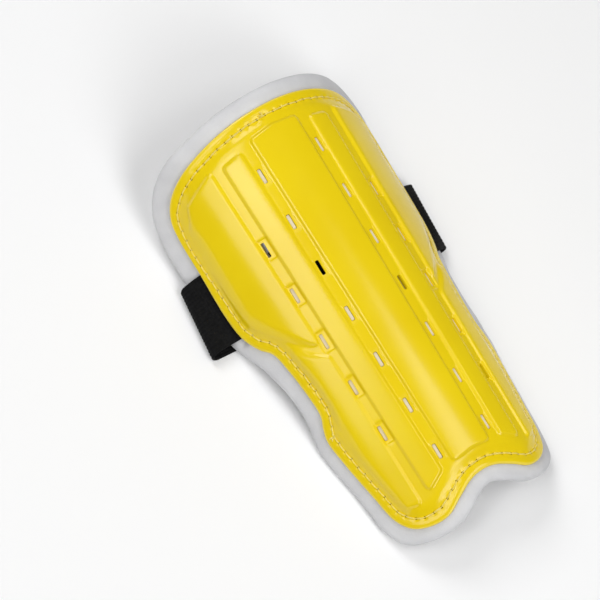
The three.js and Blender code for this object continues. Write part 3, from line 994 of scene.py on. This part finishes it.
class Surface:
    """A new material, with helpers that add its nodes over the object's own coordinates."""

    def __init__(self, name):
        self.material = bpy.data.materials.new(name)
        self.material.use_nodes = True
        self.tree = self.material.node_tree
        self.shader = self.tree.nodes["Principled BSDF"]
        self.place = self.add("ShaderNodeTexCoord").outputs["Object"]

    def add(self, kind, **values):
        """A node, with values for its sockets or its settings."""
        node = self.tree.nodes.new(kind)
        for key, value in values.items():
            if key in node.inputs:
                node.inputs[key].default_value = value
            else:
                setattr(node, key, value)
        return node

    def texture(self, kind, **values):
        """A texture of the object's own coordinates."""
        node = self.add(kind, **values)
        self.tree.links.new(self.place, node.inputs["Vector"])
        return node

    def tones(self, tones, ends=(0.3, 0.7), **noise):
        """A colour that varies between two tones."""
        fleck = self.texture("ShaderNodeTexNoise", **noise)
        ramp = self.add("ShaderNodeValToRGB")
        for element, end, tone in zip(ramp.color_ramp.elements, ends, tones):
            element.position = end
            element.color = (*tone, 1)
        self.tree.links.new(fleck.outputs["Fac"], ramp.inputs["Fac"])
        return ramp.outputs["Color"]

    def marked(self, colour, mark, shade):
        """A colour that turns to a shade where the mesh has a mark."""
        where = self.add("ShaderNodeAttribute", attribute_name=mark)
        mix = self.add("ShaderNodeMix", data_type="RGBA")
        mix.inputs["B"].default_value = (*shade, 1)
        self.tree.links.new(where.outputs["Fac"], mix.inputs["Factor"])
        self.tree.links.new(colour, mix.inputs["A"])
        return mix.outputs["Result"]

    def bump(self, height, strength, distance):
        """A fine relief from a texture."""
        bump = self.add("ShaderNodeBump", Strength=strength, Distance=distance)
        self.tree.links.new(height, bump.inputs["Height"])
        self.tree.links.new(bump.outputs["Normal"], self.shader.inputs["Normal"])

    def finished(self, colour, values):
        """The material, with its colour and the shader's own values."""
        self.tree.links.new(colour, self.shader.inputs["Base Color"])
        for key, value in values.items():
            self.shader.inputs[key].default_value = value
        return self.material


def plastic():
    """Glossy moulded plastic: small changes of tone, faint ripple, pale wear at the edges, and needle
    holes painted dark as shade.
    """
    surface = Surface("moulded_plastic")
    colour = surface.tones(YELLOW_TONES, Scale=26, Detail=3)
    colour = surface.marked(colour, "wear_and_bounce", YELLOW_WORN)
    # Painted shade: the needle holes turn dark brown
    colour = surface.marked(colour, "pierced", YELLOW_HOLE_SHADE)
    gloss = surface.texture("ShaderNodeTexNoise", Scale=60, Detail=4)
    spread = surface.add("ShaderNodeMapRange", **{"To Min": 0.13, "To Max": 0.23})
    surface.tree.links.new(gloss.outputs["Fac"], spread.inputs["Value"])
    surface.tree.links.new(spread.outputs["Result"], surface.shader.inputs["Roughness"])
    peel = surface.texture("ShaderNodeTexNoise", Scale=420, Detail=2)
    surface.bump(peel.outputs["Fac"], strength=0.06, distance=0.0002)
    return surface.finished(colour, {"IOR": 1.48})


def foam():
    """Matte closed-cell foam with fine pores, tinted warm with painted yellow bounce light in the slots
    and holes.
    """
    surface = Surface("closed_cell_foam")
    colour = surface.tones(FOAM_TONES, Scale=90, Detail=6)
    # Painted yellow bounce light on the foam in the slots and holes
    colour = surface.marked(colour, "wear_and_bounce", FOAM_BOUNCE_TINT)
    cells = surface.texture("ShaderNodeTexVoronoi", Scale=1600)
    surface.bump(cells.outputs["Distance"], strength=0.25, distance=0.0002)
    return surface.finished(colour, {"Roughness": 0.85, "Specular IOR Level": 0.3})


def elastic():
    """Black woven elastic: fine picks across the ribs, and a little lint."""
    surface = Surface("woven_elastic")
    colour = surface.tones(ELASTIC_TONES, ends=(0.35, 0.8), Scale=700, Detail=3)
    picks = surface.texture("ShaderNodeTexWave", bands_direction="X", Scale=260, Distortion=0.6, Detail=1)
    surface.bump(picks.outputs["Fac"], strength=0.5, distance=0.0002)
    return surface.finished(colour, {"Roughness": 0.75, "Specular IOR Level": 0.12, "Sheen Weight": 0.02})


def thread():
    """Yellow sewing thread with a twist."""
    surface = Surface("sewing_thread")
    colour = surface.tones(THREAD_TONES, Scale=900, Detail=3)
    twist = surface.texture("ShaderNodeTexWave", Scale=1500)
    surface.bump(twist.outputs["Fac"], strength=0.5, distance=0.0001)
    return surface.finished(colour, {"Roughness": 0.6})


def paper():
    """The floor: a pale sheet."""
    surface = Surface("studio_floor")
    colour = surface.tones(FLOOR_TONES, ends=(0, 1), Scale=3, Detail=2)
    return surface.finished(colour, {"Roughness": 0.9, "Specular IOR Level": 0.1})


def area_light(name, place, size, power):
    """A soft box aimed at the guard."""
    light = bpy.data.lights.new(name, "AREA")
    light.shape = "RECTANGLE"
    light.size, light.size_y = size
    light.energy = power
    obj = bpy.data.objects.new(name, light)
    obj.location = place
    obj.rotation_euler = (-Vector(place)).to_track_quat("-Z", "Y").to_euler()
    bpy.context.scene.collection.objects.link(obj)


def add_stage():
    """Pale floor and soft studio light."""
    mesh = bpy.data.meshes.new("floor")
    corners = [(-1, -1), (1, -1), (1, 1), (-1, 1)]
    mesh.from_pydata([(x * FLOOR_REACH, y * FLOOR_REACH, 0) for x, y in corners], [], [(0, 1, 2, 3)])
    mesh.materials.append(paper())
    floor = bpy.data.objects.new("floor", mesh)
    bpy.context.scene.collection.objects.link(floor)
    world = bpy.data.worlds.new("studio")
    world.use_nodes = True
    background = world.node_tree.nodes["Background"]
    background.inputs["Color"].default_value = (1, 1, 1, 1)
    background.inputs["Strength"].default_value = WORLD_STRENGTH
    bpy.context.scene.world = world
    for light in LIGHTS:
        area_light(**light)
    bpy.context.scene.view_settings.view_transform = "Standard"


def add_camera():
    """The photo's view: the camera's axes on the guard's ridge, aimed at the picture's middle."""
    across = np.array([math.cos(VIEW_ACROSS), 0, math.sin(VIEW_ACROSS)])
    tilt_sin, tilt_cos = math.sin(VIEW_ALONG), math.cos(VIEW_ALONG)
    along = np.array([-tilt_sin * math.sin(VIEW_ACROSS), tilt_cos, tilt_sin * math.cos(VIEW_ACROSS)])
    back = np.array([-tilt_cos * math.sin(VIEW_ACROSS), -tilt_sin, tilt_cos * math.cos(VIEW_ACROSS)])
    turn_sin, turn_cos = math.sin(VIEW_TURN), math.cos(VIEW_TURN)
    right = turn_sin * across - turn_cos * along
    up = turn_cos * across + turn_sin * along
    scale = FOCAL_PIXELS / VIEW_DISTANCE
    aside = (IMAGE_PIXELS / 2 - RIDGE_PIXEL[0]) / scale
    above = (RIDGE_PIXEL[1] - IMAGE_PIXELS / 2) / scale
    target = right * aside + up * above
    place = back * VIEW_DISTANCE
    toward = place - target
    toward /= np.linalg.norm(toward)
    right = np.cross(up, toward)
    right /= np.linalg.norm(right)
    up = np.cross(toward, right)
    axes = leaning(np.array([right, up, toward]))
    matrix = Matrix(axes.T.tolist()).to_4x4()
    matrix.translation = Vector((leaning(place[None])[0] + shift) * METRES)
    data = bpy.data.cameras.new("camera")
    data.sensor_width = SENSOR_WIDTH
    data.lens = FOCAL_PIXELS / IMAGE_PIXELS * SENSOR_WIDTH
    camera = bpy.data.objects.new("camera", data)
    camera.matrix_world = matrix
    bpy.context.scene.collection.objects.link(camera)
    bpy.context.scene.camera = camera


shell_piece(plastic())
stitch_piece(thread())
strap, strap_length, strap_centre, strap_out = strap_piece(elastic())
pad = pad_piece(foam(), strap_centre, strap_out)
add_stage()
add_camera()
